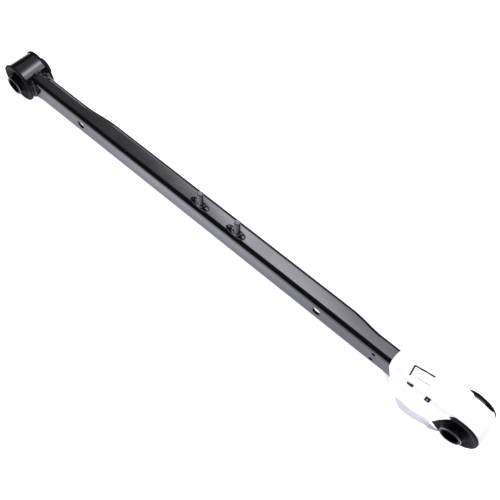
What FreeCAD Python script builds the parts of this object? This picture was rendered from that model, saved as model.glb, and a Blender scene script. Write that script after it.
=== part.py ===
import FreeCAD, Part
import math
import os

from FreeCAD import Vector

# Track control arm: a pressed channel welded to two eye tubes, each with a bonded rubber bush.
# Millimetres. X runs along the arm, Y along the bush bores, Z up.
# The origin is the centre of the left bush, on its axis.

# Bushes
EYE_SPACING = 532.5        # bore axis to bore axis
BOLT_BORE = 14.2           # through the inner sleeve, for an M14 bolt
SLEEVE_OUTER = 19.2        # outer diameter of the inner sleeve
SLEEVE_LENGTH = 41.8
SLEEVE_CHAMFER = 0.8
SHELL_WALL = 1.25          # outer steel shell of the bush
SHELL_SHORT = 1.0          # the shell stops this far inside each end of the eye tube
LIP_OVERHANG = 0.9         # how far the rubber lip stands out from the eye tube
LIP_THICKNESS = 2.1
LIP_ROUND = 0.8
LIP_LAND = 2.6             # flat outer band of the lip, before the dish
DISH_DEPTH = 2.2           # how far the rubber face dips behind the lip
DISH_RUN = 4.4             # radial run of the slope down into the dish
COLLAR_RISE = 1.6          # how far the rubber climbs the sleeve above the lip
COLLAR_WALL = 1.1          # rubber left round the sleeve at the top of that climb
COLLAR_FOOT = 2.2          # and at the floor of the dish

# Eye tubes
TUBE_OUTER = 38.4
TUBE_WALL = 3.0
TUBE_LENGTH = 26.0
TUBE_EDGE = 0.6            # rounded outer edge

# Channel
SHEET = 2.5
WEB_HEIGHT = 12.4          # outer face of the web above the bore axis
CHANNEL_DEPTH = 21.3       # web to the free edges
BEND_RADIUS = 4.4          # outer radius of the two bends
NECK_HALF_WIDTH = 8.5      # both walls at the narrow ends, and the near wall all along
BODY_FAR_WIDTH = 11.6      # the far wall along the middle
LEFT_TAPER_NECK = 82.0     # where the far wall starts to move out, from the left bore axis
LEFT_TAPER_BODY = 122.0    # and where it is fully out
RIGHT_TAPER_BODY = 118.5   # the same two places at the right, from the right bore axis
RIGHT_TAPER_NECK = 86.5
FLARE_LENGTH = 18.0        # last stretch before each eye, where the legs splay
FLARE_START = 32.0         # from the bore axis
FLARE_OVERRUN = 5.4        # how far the sheet runs on into the tube before it is coped
FOOT_INSET = 2.2           # free edges at the tube, inside the tube's ends
TOP_TUCK = 1.4             # inward move of the bends at the tube
FLARE_BEND_GAIN = 1.4      # growth of the bend radius at the tube
RELIEF_RADIUS = 1.9        # notch at the end of each bend
RELIEF_REACH = 2.0         # centre of that notch, past the tube wall along X

# Holes in the near wall
JIG_HOLE = 9.0
JIG_HOLE_LEFT = 89.5       # from the left bore axis
JIG_HOLE_RIGHT = 143.0     # from the right bore axis
JIG_HOLE_HEIGHT = 1.5      # from the bore axis
CLIP_HOLE = 3.8
CLIP_HOLE_RIGHT = 83.5     # from the right bore axis
CLIP_HOLE_HEIGHT = 5.4     # the upper hole of the pair
CLIP_HOLE_SPACING = 10.6

# Studs on the web
STUD_DIAMETER = 6.0
STUD_HEIGHT = 18.6         # above the web
STUD_FIRST = 248.0
STUD_SPACING = 44.0
STUD_OFFSET = -1.4         # from the bore plane across the arm
STUD_CHAMFER = 0.8
STUD_COLLAR = 9.0          # diameter of the collar at the foot
STUD_COLLAR_HEIGHT = 1.0
PLATE_LENGTH = 21.5
PLATE_SHIFT = -1.5         # middle of the plate along X, from the stud
PLATE_WIDTH = 9.5
PLATE_THICKNESS = 1.6
PLATE_ROUND = 0.5

# Welds
BEAD_RADIUS = 1.9
WEB_BEAD_HALF = 3.0        # half length of the bead across the web
WEB_BEAD_MIDDLE = 1.2      # its middle, from the bore plane
WALL_BEAD_TOP = 8.6        # height where the wall beads start
WALL_BEAD_FOOT = -7.9      # height where they end
BEAD_SINK = 0.75           # share of the bead's radius that lies inside the joint

# Paper label round the right eye
PAPER = 0.4
PAPER_GAP = 0.15           # air between paper and metal
PAPER_CORNER = 0.3         # inner radius of the folds along the arm
LABEL_REACH = 71.0         # its left edge on the web, from the right bore axis
LABEL_SHOULDER = 29.5      # where the paper reaches its full width, from the same axis
LABEL_LIP_GAP = 0.35       # air between the paper and the lip faces
LABEL_CHORD_FOOT = -17.6   # right edge of the side panels, from the right bore axis, low
LABEL_CHORD_HEAD = -9.0    # and high
LABEL_SLACK = 3.0          # how far the loop stands off the end of the tube
FIN_WIDTH = 5.0            # free edge where the two ends of the paper meet
FIN_REACH = 64.5           # left end of that edge, from the right bore axis
FIN_STOP = 16.5            # and its right end
FIN_TIP = 0.35             # its width at both ends, as a share of the width in the middle

# Sections in each curved stretch
FLARE_SECTIONS = 7
TAPER_SECTIONS = 9
LABEL_SECTIONS = 11
FIN_SECTIONS = 7
BEAD_POINTS = 7

# Values worked out from the sizes above
BORE_R = BOLT_BORE / 2
SLEEVE_R = SLEEVE_OUTER / 2
SLEEVE_END = SLEEVE_LENGTH / 2
TUBE_R = TUBE_OUTER / 2
TUBE_INNER_R = TUBE_R - TUBE_WALL
TUBE_END = TUBE_LENGTH / 2
SHELL_INNER_R = TUBE_INNER_R - SHELL_WALL
SHELL_END = TUBE_END - SHELL_SHORT
LIP_R = TUBE_R + LIP_OVERHANG
LIP_FACE = TUBE_END + LIP_THICKNESS
FOOT_HEIGHT = WEB_HEIGHT - CHANNEL_DEPTH
CHANNEL_MID_X = EYE_SPACING / 2
SPLAY = TUBE_END - FOOT_INSET - NECK_HALF_WIDTH
RIGHT_BODY_END = EYE_SPACING - RIGHT_TAPER_BODY
RIGHT_NECK_START = EYE_SPACING - RIGHT_TAPER_NECK
LABEL_START = EYE_SPACING - LABEL_REACH
LABEL_FULL = EYE_SPACING - LABEL_SHOULDER
FIN_START = EYE_SPACING - FIN_REACH
FIN_END = EYE_SPACING - FIN_STOP


def save(name, shape):
    """Write one piece."""
    shape.exportStep("parts/" + name + ".step")


def at_eye(shape, eye_x):
    """A copy of a shape moved from the origin to an eye's bore axis."""
    moved = shape.copy()
    moved.translate(Vector(eye_x, 0, 0))
    return moved


def bar_y(radius, half_length):
    """Round bar on the bore axis, the same length each way."""
    return Part.makeCylinder(radius, 2 * half_length, Vector(0, -half_length, 0), Vector(0, 1, 0))


def ring_y(radius, start, end):
    """Round disc on the bore axis between two places along it."""
    return Part.makeCylinder(radius, end - start, Vector(0, start, 0), Vector(0, 1, 0))


def cone_y(start_radius, end_radius, start, end):
    """Cone on the bore axis between two places along it."""
    return Part.makeCone(start_radius, end_radius, end - start, Vector(0, start, 0), Vector(0, 1, 0))


def edges_at_radius(shape, radius, along):
    """Round edges of a given radius that lie a given distance from the mid plane."""
    found = []
    for edge in shape.Edges:
        curve = edge.Curve
        if curve.TypeId != "Part::GeomCircle":
            continue
        if abs(curve.Radius - radius) < 1e-6 and abs(abs(curve.Center.y) - along) < 1e-6:
            found.append(edge)
    return found


def eye_tube():
    """Steel eye: a short tube with rounded outer edges."""
    tube = bar_y(TUBE_R, TUBE_END).cut(bar_y(TUBE_INNER_R, TUBE_END))
    return tube.makeFillet(TUBE_EDGE, edges_at_radius(tube, TUBE_R, TUBE_END))


def bush_shell():
    """Thin outer shell of the bush, pressed into the eye."""
    return bar_y(TUBE_INNER_R, SHELL_END).cut(bar_y(SHELL_INNER_R, SHELL_END))


def inner_sleeve():
    """Thick sleeve round the bolt, chamfered at both ends."""
    sleeve = bar_y(SLEEVE_R, SLEEVE_END).cut(bar_y(BORE_R, SLEEVE_END))
    ends = edges_at_radius(sleeve, SLEEVE_R, SLEEVE_END) + edges_at_radius(sleeve, BORE_R, SLEEVE_END)
    return sleeve.makeChamfer(SLEEVE_CHAMFER, ends)


def bush_rubber():
    """Bonded rubber: fills shell to sleeve, laps over the tube ends, dished on both faces."""
    dish_edge = LIP_R - LIP_LAND
    dish_floor = dish_edge - DISH_RUN
    floor_face = LIP_FACE - DISH_DEPTH
    collar_end = LIP_FACE + COLLAR_RISE
    core = ring_y(SHELL_INNER_R, 0, SHELL_END)
    plug = ring_y(TUBE_INNER_R, SHELL_END, TUBE_END)
    lip = ring_y(LIP_R, TUBE_END, LIP_FACE)
    half = core.fuse([plug, lip])
    half = half.cut(cone_y(dish_floor, dish_edge, floor_face, LIP_FACE))
    rims = edges_at_radius(half, LIP_R, LIP_FACE) + edges_at_radius(half, dish_edge, LIP_FACE)
    half = half.makeFillet(LIP_ROUND, rims)
    half = half.fuse(cone_y(SLEEVE_R + COLLAR_FOOT, SLEEVE_R + COLLAR_WALL, floor_face, collar_end))
    half = half.cut(ring_y(SLEEVE_R, 0, collar_end))
    other = half.mirror(Vector(0, 0, 0), Vector(0, 1, 0))
    return half.fuse(other).removeSplitter()


def smooth_step(value):
    """Rise from 0 to 1 with a level start and end."""
    held = min(max(value, 0.0), 1.0)
    return held * held * (3 - 2 * held)


def flare_share(x):
    """0 in the necks and 1 at the wall of either eye tube, growing with the square."""
    from_eye = CHANNEL_MID_X - abs(x - CHANNEL_MID_X)
    share = (FLARE_START - from_eye) / FLARE_LENGTH
    return max(share, 0.0) ** 2


def far_width(x):
    """Distance of the far wall from the bore plane, before the flare."""
    out = smooth_step((x - LEFT_TAPER_NECK) / (LEFT_TAPER_BODY - LEFT_TAPER_NECK))
    back = smooth_step((x - RIGHT_BODY_END) / (RIGHT_NECK_START - RIGHT_BODY_END))
    return NECK_HALF_WIDTH + (BODY_FAR_WIDTH - NECK_HALF_WIDTH) * (out - back)


def wall_reach(x, z, neck):
    """Outer face of a wall at one height, from its distance in the neck: the legs splay."""
    share = flare_share(x)
    drop = (WEB_HEIGHT - z) / CHANNEL_DEPTH
    return neck - TOP_TUCK * share + (TOP_TUCK + SPLAY) * share * drop


def rounded_corner(before, corner, after, radius):
    """Start, middle and end of the arc that rounds a corner."""
    to_before = (before - corner).normalize()
    to_after = (after - corner).normalize()
    half_angle = to_before.getAngle(to_after) / 2
    run = radius / math.tan(half_angle)
    inward = (to_before + to_after).normalize()
    centre = corner + inward * (radius / math.sin(half_angle))
    return corner + to_before * run, centre - inward * radius, corner + to_after * run


def channel_outline(x, inset):
    """Closed outline of the channel's outer skin at x, or of its hollow when inset by the sheet."""
    foot_z = FOOT_HEIGHT - inset
    top_z = WEB_HEIGHT - inset
    near_foot = Vector(x, inset - wall_reach(x, foot_z, NECK_HALF_WIDTH), foot_z)
    near_top = Vector(x, inset - wall_reach(x, top_z, NECK_HALF_WIDTH), top_z)
    far_top = Vector(x, wall_reach(x, top_z, far_width(x)) - inset, top_z)
    far_foot = Vector(x, wall_reach(x, foot_z, far_width(x)) - inset, foot_z)
    bend = BEND_RADIUS + FLARE_BEND_GAIN * flare_share(x) - inset
    near_bend = rounded_corner(near_foot, near_top, far_top, bend)
    far_bend = rounded_corner(near_top, far_top, far_foot, bend)
    edges = [
        Part.LineSegment(near_foot, near_bend[0]).toShape(),
        Part.Arc(*near_bend).toShape(),
        Part.LineSegment(near_bend[2], far_bend[0]).toShape(),
        Part.Arc(*far_bend).toShape(),
        Part.LineSegment(far_bend[2], far_foot).toShape(),
        Part.LineSegment(far_foot, near_foot).toShape(),
    ]
    return Part.Wire(edges)


def channel_stretch(stations, ruled):
    """One stretch of channel: the skin lofted through its stations, less the hollow."""
    skin = Part.makeLoft([channel_outline(x, 0.0) for x in stations], True, ruled)
    hollow = Part.makeLoft([channel_outline(x, SHEET) for x in stations], True, ruled)
    return skin.cut(hollow)


def spaced(start, end, count):
    """Evenly spaced stations with both ends."""
    return [start + (end - start) * i / (count - 1) for i in range(count)]


def pressed_channel():
    """The arm's channel: straight stretches, two tapers and two splayed, coped ends."""
    right_flare = EYE_SPACING - FLARE_START
    run = FLARE_LENGTH + FLARE_OVERRUN
    stretches = [
        channel_stretch(spaced(FLARE_START - run, FLARE_START, FLARE_SECTIONS), False),
        channel_stretch([FLARE_START, LEFT_TAPER_NECK], True),
        channel_stretch(spaced(LEFT_TAPER_NECK, LEFT_TAPER_BODY, TAPER_SECTIONS), False),
        channel_stretch([LEFT_TAPER_BODY, RIGHT_BODY_END], True),
        channel_stretch(spaced(RIGHT_BODY_END, RIGHT_NECK_START, TAPER_SECTIONS), False),
        channel_stretch([RIGHT_NECK_START, right_flare], True),
        channel_stretch(spaced(right_flare, right_flare + run, FLARE_SECTIONS), False),
    ]
    channel = stretches[0].fuse(stretches[1:])
    channel = channel.removeSplitter()
    for cutter in eye_cutters() + bend_reliefs() + wall_holes():
        channel = channel.cut(cutter)
    return channel


def eye_cutters():
    """Bars the size of the eye tubes, which cope the channel's ends."""
    return [at_eye(bar_y(TUBE_R, TUBE_R), x) for x in (0.0, EYE_SPACING)]


def seam_x(z, towards):
    """X of the tube wall at a height, on the side that faces the channel."""
    run = math.sqrt(TUBE_R ** 2 - z ** 2)
    return run if towards > 0 else EYE_SPACING - run


def bend_reliefs():
    """Round notches where the bends meet the eye tubes."""
    notches = []
    for towards in (1, -1):
        x = seam_x(WEB_HEIGHT, towards) + towards * RELIEF_REACH
        for side in (-1, 1):
            y = side * (wall_reach(x, WEB_HEIGHT, NECK_HALF_WIDTH) - RELIEF_RADIUS / 2)
            foot = Vector(x, y, WEB_HEIGHT - BEND_RADIUS)
            notches.append(Part.makeCylinder(RELIEF_RADIUS, 2 * BEND_RADIUS, foot))
    return notches


def near_hole(diameter, x, z):
    """Cutter for one round hole in the near wall."""
    start = Vector(x, -NECK_HALF_WIDTH - SHEET, z)
    return Part.makeCylinder(diameter / 2, 2.5 * SHEET, start, Vector(0, 1, 0))


def wall_holes():
    """Cutters for the two jig holes and the pair of clip holes."""
    clip_x = EYE_SPACING - CLIP_HOLE_RIGHT
    jig_places = (JIG_HOLE_LEFT, EYE_SPACING - JIG_HOLE_RIGHT)
    clip_heights = (CLIP_HOLE_HEIGHT, CLIP_HOLE_HEIGHT - CLIP_HOLE_SPACING)
    jig = [near_hole(JIG_HOLE, x, JIG_HOLE_HEIGHT) for x in jig_places]
    clip = [near_hole(CLIP_HOLE, clip_x, z) for z in clip_heights]
    return jig + clip


def round_ended_bead(points):
    """A bead of weld along points: a swept circle with a ball at each end."""
    path = Part.BSplineCurve()
    path.interpolate(points)
    spine = Part.Wire(path.toShape())
    start_tangent = path.tangent(path.FirstParameter)[0]
    circle = Part.Wire(Part.Circle(points[0], start_tangent, BEAD_RADIUS).toShape())
    rod = Part.Wire(spine).makePipeShell([circle], True, False)
    balls = [Part.makeSphere(BEAD_RADIUS, point) for point in (points[0], points[-1])]
    return rod.fuse(balls)


def web_bead():
    """Bead across the end of the web at the left eye."""
    x = seam_x(WEB_HEIGHT, 1) + (1 - BEAD_SINK) * BEAD_RADIUS
    start = WEB_BEAD_MIDDLE - WEB_BEAD_HALF
    points = [Vector(x, y, WEB_HEIGHT) for y in spaced(start, start + 2 * WEB_BEAD_HALF, 3)]
    return round_ended_bead(points)


def wall_bead(side):
    """Bead down the joint between a wall and the left eye tube."""
    points = []
    for z in spaced(WALL_BEAD_TOP, WALL_BEAD_FOOT, BEAD_POINTS):
        x = seam_x(z, 1) + (1 - BEAD_SINK) * BEAD_RADIUS
        points.append(Vector(x, side * wall_reach(x, z, NECK_HALF_WIDTH), z))
    return round_ended_bead(points)


def stud_places():
    """X of the two studs."""
    return [STUD_FIRST, STUD_FIRST + STUD_SPACING]


def stud_plate(x):
    """Oblong plate on the web, with softened top edges."""
    end_r = PLATE_WIDTH / 2
    reach = PLATE_LENGTH / 2 - end_r
    plate = Part.makeBox(2 * reach, PLATE_WIDTH, PLATE_THICKNESS, Vector(-reach, -end_r, 0))
    ends = [Part.makeCylinder(end_r, PLATE_THICKNESS, Vector(side * reach, 0, 0)) for side in (-1, 1)]
    plate = plate.fuse(ends).removeSplitter()
    top = [edge for edge in plate.Edges if edge.BoundBox.ZMin > PLATE_THICKNESS - 1e-6]
    plate = plate.makeFillet(PLATE_ROUND, top)
    plate.translate(Vector(x + PLATE_SHIFT, STUD_OFFSET, WEB_HEIGHT))
    return plate


def weld_stud(x):
    """Stud welded on its plate, with a collar at its foot."""
    foot = Vector(0, 0, PLATE_THICKNESS)
    shank = Part.makeCylinder(STUD_DIAMETER / 2, STUD_HEIGHT - PLATE_THICKNESS, foot)
    tip = [edge for edge in shank.Edges if edge.BoundBox.ZMin > STUD_HEIGHT - 1e-6]
    shank = shank.makeChamfer(STUD_CHAMFER, tip)
    collar_top = STUD_DIAMETER / 2 + STUD_COLLAR_HEIGHT / 2
    collar = Part.makeCone(STUD_COLLAR / 2, collar_top, STUD_COLLAR_HEIGHT, foot)
    stud = shank.fuse(collar)
    stud.translate(Vector(x, STUD_OFFSET, WEB_HEIGHT))
    return stud


def label_half_width(x):
    """Inner half width of the paper: snug on the neck, clear of the lip faces at the eye."""
    snug = NECK_HALF_WIDTH + PAPER_GAP
    full = LIP_FACE + LABEL_LIP_GAP
    return snug + (full - snug) * smooth_step((x - LABEL_START) / (LABEL_FULL - LABEL_START))


def label_height(x, rest):
    """Inner height of a panel that runs from its height on the channel out to the eye tube."""
    share = (x - LABEL_START) / (EYE_SPACING - LABEL_START)
    return rest + (TUBE_R + PAPER_GAP - rest) * math.sin(min(share, 1.0) * math.pi / 2)


def label_outline(x, paper):
    """Closed section of the paper sleeve at x; paper is 0 for its inside."""
    half = label_half_width(x) + paper
    top = label_height(x, WEB_HEIGHT + PAPER_GAP) + paper
    foot = -label_height(x, PAPER_GAP - FOOT_HEIGHT) - paper
    corners = [
        Vector(x, -half, foot),
        Vector(x, -half, top),
        Vector(x, half, top),
        Vector(x, half, foot),
    ]
    folds = []
    for i in range(4):
        folds.append(rounded_corner(corners[i - 1], corners[i], corners[(i + 1) % 4], PAPER_CORNER + paper))
    edges = []
    for i in range(4):
        edges.append(Part.Arc(*folds[i]).toShape())
        edges.append(Part.LineSegment(folds[i][2], folds[(i + 1) % 4][0]).toShape())
    return Part.Wire(edges)


def label_loop(paper):
    """Solid inside the loop at the end of the tube: half an ellipse, as wide as the tube."""
    reach = TUBE_R + PAPER_GAP + LABEL_SLACK + paper
    rise = TUBE_R + PAPER_GAP + paper
    half = TUBE_END - PAPER_GAP
    oval = Part.Face(Part.Wire(Part.Ellipse(Vector(0, 0, 0), reach, rise).toShape()))
    oval.rotate(Vector(0, 0, 0), Vector(1, 0, 0), 90)
    oval.translate(Vector(0, -half, 0))
    loop = oval.extrude(Vector(0, 2 * half, 0))
    side = 2 * LIP_R
    loop = loop.cut(Part.makeBox(side, 2 * side, 2 * side, Vector(-side, -side, -side)))
    return at_eye(loop, EYE_SPACING)


def label_side_trim(side):
    """Block right of the slanted edge of one side panel, outside the tube's width."""
    low = Vector(EYE_SPACING + LABEL_CHORD_FOOT, 0, -LIP_R)
    high = Vector(EYE_SPACING + LABEL_CHORD_HEAD, 0, LIP_R)
    far = Vector(EYE_SPACING + 2 * LIP_R, 0, 0)
    corners = [low, high, far + Vector(0, 0, LIP_R), far - Vector(0, 0, LIP_R)]
    face = Part.Face(Part.makePolygon(corners + corners[:1]))
    face.translate(Vector(0, side * (TUBE_END - PAPER_GAP), 0))
    return face.extrude(Vector(0, side * LIP_R, 0))


def label_fin():
    """Free edge of the paper along the near lower corner, where its two ends meet."""
    sections = []
    for x in spaced(FIN_START, FIN_END, FIN_SECTIONS):
        edge = -label_half_width(x)
        foot = -label_height(x, PAPER_GAP - FOOT_HEIGHT)
        lift = math.sin(math.pi * (x - FIN_START) / (FIN_END - FIN_START))
        reach = FIN_WIDTH * (FIN_TIP + (1 - FIN_TIP) * lift)
        corners = [
            Vector(x, edge + 2 * PAPER, foot),
            Vector(x, edge - PAPER - reach, foot),
            Vector(x, edge - PAPER - reach, foot - PAPER),
            Vector(x, edge + 2 * PAPER, foot - PAPER),
        ]
        sections.append(Part.makePolygon(corners + corners[:1]))
    return Part.makeLoft(sections, True, True)


def blank_label():
    """Plain paper label: a sleeve from the neck to the eye, and a loop round the tube's end."""
    stations = spaced(LABEL_START, EYE_SPACING, LABEL_SECTIONS)
    outside = Part.makeLoft([label_outline(x, PAPER) for x in stations], True, True)
    inside = Part.makeLoft([label_outline(x, 0.0) for x in stations], True, True)
    sleeve = outside.cut(inside)
    for side in (-1, 1):
        sleeve = sleeve.cut(label_side_trim(side))
    loop = label_loop(PAPER).cut(label_loop(0.0))
    return sleeve.fuse([label_fin(), loop]).removeSplitter()


def build_eye(name, eye_x):
    """Tube and bush of one eye."""
    save(name + "_eye_tube", at_eye(eye_tube(), eye_x))
    save(name + "_bush_shell", at_eye(bush_shell(), eye_x))
    save(name + "_bush_rubber", at_eye(bush_rubber(), eye_x))
    save(name + "_inner_sleeve", at_eye(inner_sleeve(), eye_x))


def build_welds(channel):
    """Three beads at each eye, trimmed to lie on the tube and the channel."""
    beads = {
        "web": web_bead(),
        "near": wall_bead(-1),
        "far": wall_bead(1),
    }
    eyes = [at_eye(bar_y(TUBE_R, TUBE_END), x) for x in (0.0, EYE_SPACING)]
    for place, bead in beads.items():
        other = bead.mirror(Vector(CHANNEL_MID_X, 0, 0), Vector(1, 0, 0))
        save("left_" + place + "_weld", bead.cut(eyes[0]).cut(channel))
        save("right_" + place + "_weld", other.cut(eyes[1]).cut(channel))


def build():
    """Make every piece of the arm."""
    os.makedirs("parts", exist_ok=True)
    channel = pressed_channel()
    save("channel_arm", channel)
    build_eye("left", 0.0)
    build_eye("right", EYE_SPACING)
    build_welds(channel)
    for name, x in zip(("left", "right"), stud_places()):
        save(name + "_stud_plate", stud_plate(x))
        save(name + "_stud", weld_stud(x))
    save("blank_label", blank_label())


build()
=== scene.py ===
"""Looks of a track control arm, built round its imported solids.

Metres, Z up. X runs along the arm from the left bush, Y along the bush bores.
"""

import logging
import math
from dataclasses import dataclass, field
from enum import Enum

import bpy
import numpy as np
from mathutils import Matrix, Vector


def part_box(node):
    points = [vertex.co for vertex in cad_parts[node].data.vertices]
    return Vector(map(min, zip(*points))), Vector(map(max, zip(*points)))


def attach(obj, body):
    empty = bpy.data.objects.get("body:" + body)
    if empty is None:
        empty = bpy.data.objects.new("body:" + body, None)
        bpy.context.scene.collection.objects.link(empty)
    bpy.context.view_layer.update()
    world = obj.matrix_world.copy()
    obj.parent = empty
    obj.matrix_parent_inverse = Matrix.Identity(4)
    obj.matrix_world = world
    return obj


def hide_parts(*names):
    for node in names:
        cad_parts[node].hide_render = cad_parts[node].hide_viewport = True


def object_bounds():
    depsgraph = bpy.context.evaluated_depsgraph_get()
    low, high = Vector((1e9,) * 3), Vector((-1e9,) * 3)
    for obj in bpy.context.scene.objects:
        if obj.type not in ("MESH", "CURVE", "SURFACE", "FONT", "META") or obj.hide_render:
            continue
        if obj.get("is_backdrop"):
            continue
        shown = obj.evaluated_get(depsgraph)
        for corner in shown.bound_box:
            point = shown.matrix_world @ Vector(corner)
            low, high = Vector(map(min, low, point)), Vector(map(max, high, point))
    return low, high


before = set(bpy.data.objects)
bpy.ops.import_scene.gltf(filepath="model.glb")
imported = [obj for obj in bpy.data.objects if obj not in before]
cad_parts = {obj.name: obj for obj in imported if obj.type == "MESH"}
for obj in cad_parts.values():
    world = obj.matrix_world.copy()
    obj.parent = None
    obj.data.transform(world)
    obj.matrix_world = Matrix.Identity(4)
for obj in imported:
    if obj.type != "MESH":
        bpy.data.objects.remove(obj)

LOG = logging.getLogger("control_arm")
MM = 0.001


class Side(Enum):
    """The two ends of the arm, as in the names of its nodes."""

    LEFT = "left"
    RIGHT = "right"


def linear(hex_code: str) -> tuple[float, float, float, float]:
    """Turn an sRGB hex colour into linear light.

    Args:
        hex_code: six hex digits, red first.

    Returns:
        Linear red, green and blue, and alpha 1.
    """
    shares = [int(hex_code[i:i + 2], 16) / 255 for i in (0, 2, 4)]
    light = [s / 12.92 if s <= 0.04045 else ((s + 0.055) / 1.055) ** 2.4 for s in shares]
    return light[0], light[1], light[2], 1.0


def per_metre(size_mm: float) -> float:
    """Scale of a texture on metre coordinates whose features measure size_mm."""
    return 1.0 / (size_mm * MM)


def add_node(tree: bpy.types.NodeTree, kind: str, settings: dict | None = None,
             inputs: dict | None = None) -> bpy.types.Node:
    """Add one shader node with its settings and links.

    Args:
        tree: the node tree that takes it.
        kind: the node's type name.
        settings: attributes to set on the node.
        inputs: by input name or number, a plain value or the output socket to link from.

    Returns:
        The new node.
    """
    node = tree.nodes.new(kind)
    for name, value in (settings or {}).items():
        setattr(node, name, value)
    for name, value in (inputs or {}).items():
        if isinstance(value, bpy.types.NodeSocket):
            tree.links.new(value, node.inputs[name])
        else:
            node.inputs[name].default_value = value
    return node


def set_ramp(node: bpy.types.Node, stops: list[tuple[float, float]]) -> None:
    """Give a colour ramp its grey stops.

    Args:
        node: a colour ramp node.
        stops: pairs of place from 0 to 1 and grey value.
    """
    ramp = node.color_ramp
    while len(ramp.elements) > 1:
        ramp.elements.remove(ramp.elements[-1])
    ramp.elements[0].position = stops[0][0]
    ramp.elements[0].color = (stops[0][1],) * 3 + (1.0,)
    for place, grey in stops[1:]:
        ramp.elements.new(place).color = (grey, grey, grey, 1.0)


def new_material(name: str) -> tuple[bpy.types.Material, bpy.types.NodeTree, bpy.types.Node]:
    """Start a material.

    Args:
        name: the finish's common name.

    Returns:
        The material, its tree and its main shader.
    """
    material = bpy.data.materials.new(name)
    material.use_nodes = True
    tree = material.node_tree
    return material, tree, tree.nodes["Principled BSDF"]


def bore_distance(tree: bpy.types.NodeTree, place: bpy.types.NodeSocket,
                  eye_x: float) -> bpy.types.NodeSocket:
    """Distance from the bore axis of one eye: the length of the offset without its Y.

    Args:
        tree: the material's tree.
        place: object coordinates.
        eye_x: X of the bore axis.

    Returns:
        The socket with the distance in metres.
    """
    offset = add_node(tree, "ShaderNodeVectorMath", {"operation": "SUBTRACT"},
                      {0: place, 1: (eye_x, 0.0, 0.0)})
    across = add_node(tree, "ShaderNodeVectorMath", {"operation": "MULTIPLY"},
                      {0: offset.outputs["Vector"], 1: (1.0, 0.0, 1.0)})
    length = add_node(tree, "ShaderNodeVectorMath", {"operation": "LENGTH"},
                      {0: across.outputs["Vector"]})
    return length.outputs["Value"]


@dataclass(frozen=True)
class DippedPaint:
    """Black electrodeposited paint on pressed steel: thin, glossy, faintly uneven.

    The dip gives an even coat, so the eye sees the steel's own waviness as broad soft changes in
    gloss and a fine orange peel.
    """

    name: str = "black_dipped_paint"
    colour: str = "0c0c0e"
    dull_colour: str = "141417"
    gloss: float = 0.07
    dull: float = 0.15
    ior: float = 1.6
    drift_mm: float = 38.0
    peel_mm: float = 1.6
    peel_depth_mm: float = 0.006
    grain_mm: float = 0.35

    def build(self) -> bpy.types.Material:
        """Make the material."""
        material, tree, shader = new_material(self.name)
        place = add_node(tree, "ShaderNodeTexCoord").outputs["Object"]
        drift = add_node(tree, "ShaderNodeTexNoise", None,
                         {"Vector": place, "Scale": per_metre(self.drift_mm), "Detail": 3.0})
        shade = add_node(tree, "ShaderNodeMix", {"data_type": "RGBA"},
                         {"Factor": drift.outputs["Fac"], "A": linear(self.colour),
                          "B": linear(self.dull_colour)})
        tree.links.new(shade.outputs["Result"], shader.inputs["Base Color"])
        gloss = add_node(tree, "ShaderNodeMapRange", None,
                         {"Value": drift.outputs["Fac"], "From Min": 0.3, "From Max": 0.7,
                          "To Min": self.gloss, "To Max": self.dull})
        tree.links.new(gloss.outputs["Result"], shader.inputs["Roughness"])
        peel = add_node(tree, "ShaderNodeTexNoise", None,
                        {"Vector": place, "Scale": per_metre(self.peel_mm), "Detail": 1.0})
        grain = add_node(tree, "ShaderNodeTexNoise", None,
                         {"Vector": place, "Scale": per_metre(self.grain_mm), "Detail": 2.0})
        both = add_node(tree, "ShaderNodeMath", {"operation": "MULTIPLY_ADD"},
                        {0: grain.outputs["Fac"], 1: 0.25, 2: peel.outputs["Fac"]})
        bump = add_node(tree, "ShaderNodeBump", None,
                        {"Height": both.outputs["Value"], "Strength": 0.35,
                         "Distance": self.peel_depth_mm * MM})
        tree.links.new(bump.outputs["Normal"], shader.inputs["Normal"])
        shader.inputs["IOR"].default_value = self.ior
        return material


@dataclass(frozen=True)
class PaintedWeld:
    """Weld bead under the same paint: scalloped ripples and small spatter."""

    name: str = "black_painted_weld"
    colour: str = "0c0c0e"
    raised_colour: str = "18181b"
    roughness: float = 0.2
    ripple_mm: float = 2.6
    ripple_depth_mm: float = 0.9
    spatter_mm: float = 1.1

    def build(self) -> bpy.types.Material:
        """Make the material."""
        material, tree, shader = new_material(self.name)
        place = add_node(tree, "ShaderNodeTexCoord").outputs["Object"]
        ripple = add_node(tree, "ShaderNodeTexVoronoi", None,
                          {"Vector": place, "Scale": per_metre(self.ripple_mm)})
        spatter = add_node(tree, "ShaderNodeTexNoise", None,
                           {"Vector": place, "Scale": per_metre(self.spatter_mm), "Detail": 3.0})
        both = add_node(tree, "ShaderNodeMath", {"operation": "MULTIPLY_ADD"},
                        {0: spatter.outputs["Fac"], 1: 0.5, 2: ripple.outputs["Distance"]})
        bump = add_node(tree, "ShaderNodeBump", None,
                        {"Height": both.outputs["Value"], "Strength": 0.8,
                         "Distance": self.ripple_depth_mm * MM})
        tree.links.new(bump.outputs["Normal"], shader.inputs["Normal"])
        tone = add_node(tree, "ShaderNodeMix", {"data_type": "RGBA"},
                        {"Factor": spatter.outputs["Fac"], "A": linear(self.colour),
                         "B": linear(self.raised_colour)})
        tree.links.new(tone.outputs["Result"], shader.inputs["Base Color"])
        shader.inputs["Roughness"].default_value = self.roughness
        return material


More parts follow.
